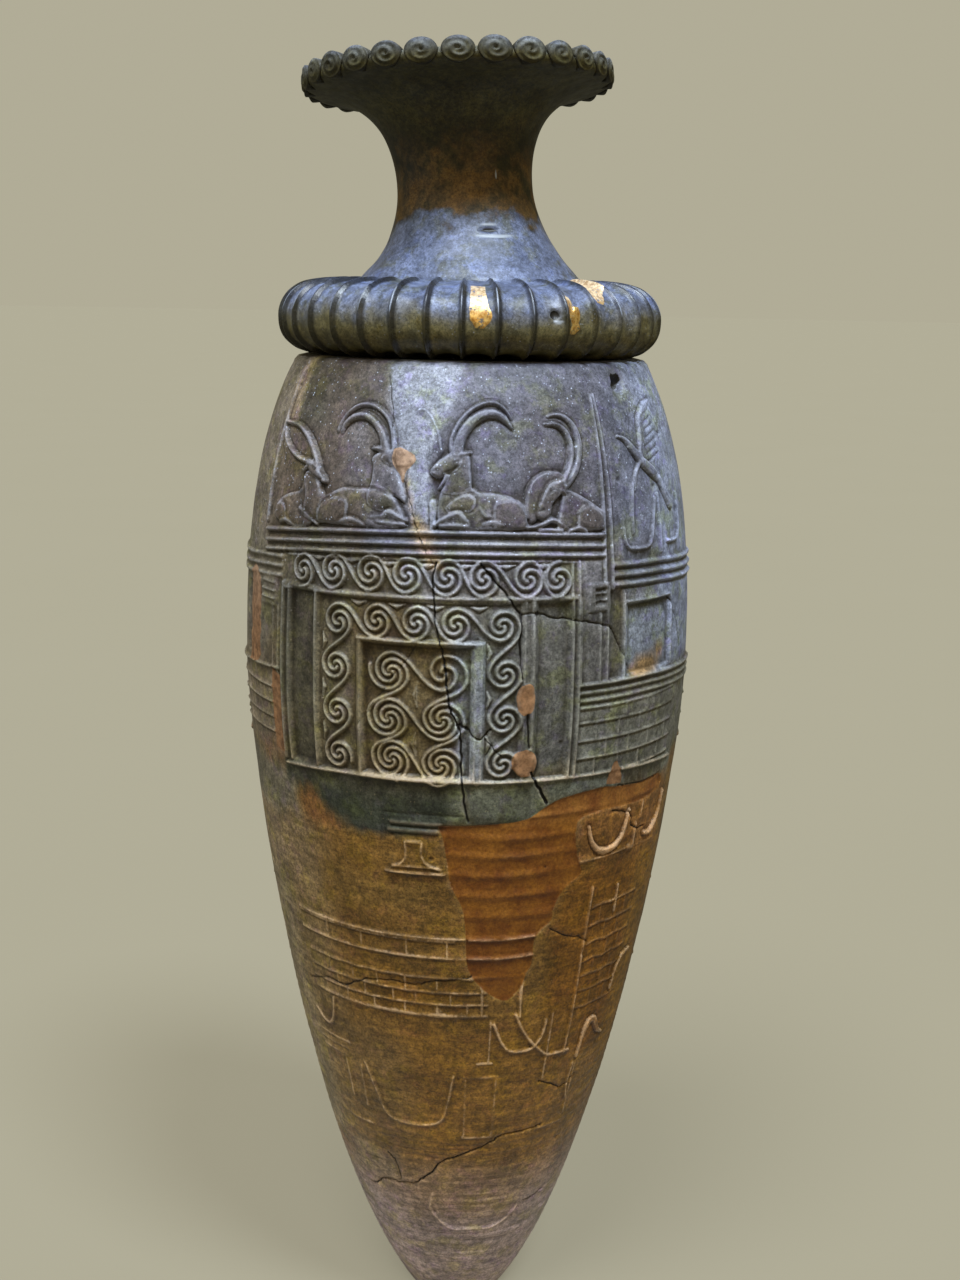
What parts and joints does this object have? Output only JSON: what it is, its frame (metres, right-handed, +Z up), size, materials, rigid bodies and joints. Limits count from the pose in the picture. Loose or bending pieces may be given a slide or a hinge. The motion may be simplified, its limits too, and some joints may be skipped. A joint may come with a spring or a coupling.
{
  "type": "vase",
  "caption": "Pointed ovoid stone vase with a flaring neck on a fluted collar and a hollow body carved in low relief with a hill shrine, goats and running spirals.",
  "frame": {"origin": "centre of the small flat underside of the body", "axes": "+Z up along the axis of the body, -Y towards the carved front with the shrine door, +X to the right of someone facing it"},
  "size_m": [0.1396, 0.1411, 0.4031],
  "materials": {
    "body_stone": "smoothed carved soft stone, worn, with brown plaster repairs",
    "neck_stone": "polished dark stone with scraps of gold leaf"
  },
  "bodies": {
    "root": {"body": "body_stone", "neck": "neck_stone"}
  },
  "joints": []
}
